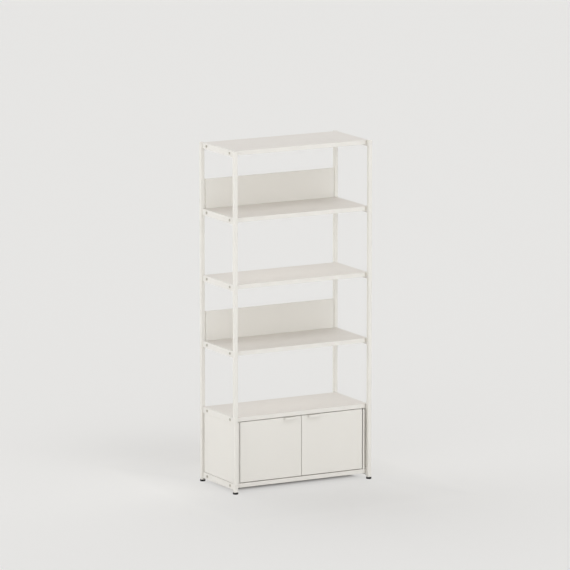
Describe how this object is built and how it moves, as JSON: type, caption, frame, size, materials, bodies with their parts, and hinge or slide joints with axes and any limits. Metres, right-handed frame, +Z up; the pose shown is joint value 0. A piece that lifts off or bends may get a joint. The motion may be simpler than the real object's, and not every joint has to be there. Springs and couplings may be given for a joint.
{
  "type": "bookcase with cabinet doors",
  "caption": "Free-standing bookcase of slim square steel posts and folded sheet decks, with low back panels and a hinged-door cabinet at its foot.",
  "frame": {"origin": "on the floor, under the centre of the footprint", "axes": "+Z up, the front faces -Y, +X to the right seen from the front"},
  "size_m": [0.808, 0.388, 1.77],
  "materials": {
    "post_paint": "fine matt powder coat",
    "rail_paint": "fine matt powder coat",
    "deck_paint": "fine matt powder coat",
    "panel_paint": "fine matt powder coat",
    "door_paint": "fine matt powder coat",
    "foot_plastic": "matt black",
    "fastener_steel": "zinc plated",
    "pivot_steel": "bright zinc",
    "bush_plastic": "natural nylon",
    "catch_plastic": "matt off-white"
  },
  "bodies": {
    "frame": {"post_front_left": "post_paint", "foot_front_left": "foot_plastic", "post_rear_left": "post_paint", "foot_rear_left": "foot_plastic", "rail_left_0": "rail_paint", "rail_left_1": "rail_paint", "rail_left_2": "rail_paint", "rail_left_3": "rail_paint", "rail_left_4": "rail_paint", "rail_left_5": "rail_paint", "rail_bolts_left": "fastener_steel", "rail_nuts_left": "fastener_steel", "cabinet_side_left": "panel_paint", "catch_left": "catch_plastic", "catch_magnet_left": "pivot_steel", "post_front_right": "post_paint", "foot_front_right": "foot_plastic", "post_rear_right": "post_paint", "foot_rear_right": "foot_plastic", "rail_right_0": "rail_paint", "rail_right_1": "rail_paint", "rail_right_2": "rail_paint", "rail_right_3": "rail_paint", "rail_right_4": "rail_paint", "rail_right_5": "rail_paint", "rail_bolts_right": "fastener_steel", "rail_nuts_right": "fastener_steel", "cabinet_side_right": "panel_paint", "catch_right": "catch_plastic", "catch_magnet_right": "pivot_steel", "post_caps": "post_paint", "deck_0": "deck_paint", "deck_1": "deck_paint", "deck_2": "deck_paint", "deck_3": "deck_paint", "deck_4": "deck_paint", "deck_5": "deck_paint", "back_panel_4": "panel_paint", "back_panel_2": "panel_paint", "back_screws": "fastener_steel", "cabinet_back": "panel_paint", "cabinet_rivets": "fastener_steel", "side_screws": "fastener_steel", "side_studs": "fastener_steel", "side_nuts": "fastener_steel", "pivot_bushes": "bush_plastic", "catch_screws": "fastener_steel"},
    "left_door": {"door_left": "door_paint", "pivot_blocks_left": "pivot_steel", "pivot_pins_left": "pivot_steel", "handle_left": "door_paint", "handle_screws_left": "fastener_steel"},
    "right_door": {"door_right": "door_paint", "pivot_blocks_right": "pivot_steel", "pivot_pins_right": "pivot_steel", "handle_right": "door_paint", "handle_screws_right": "fastener_steel"}
  },
  "joints": [
    {"name": "door_left_hinge", "type": "hinge", "parent": "frame", "child": "left_door", "pos_m": [-0.349, -0.161, 0.21125], "axis": [0, 0, -1], "range_deg": [0, 110]},
    {"name": "door_right_hinge", "type": "hinge", "parent": "frame", "child": "right_door", "pos_m": [0.349, -0.161, 0.21125], "axis": [0, 0, 1], "range_deg": [0, 110]}
  ]
}
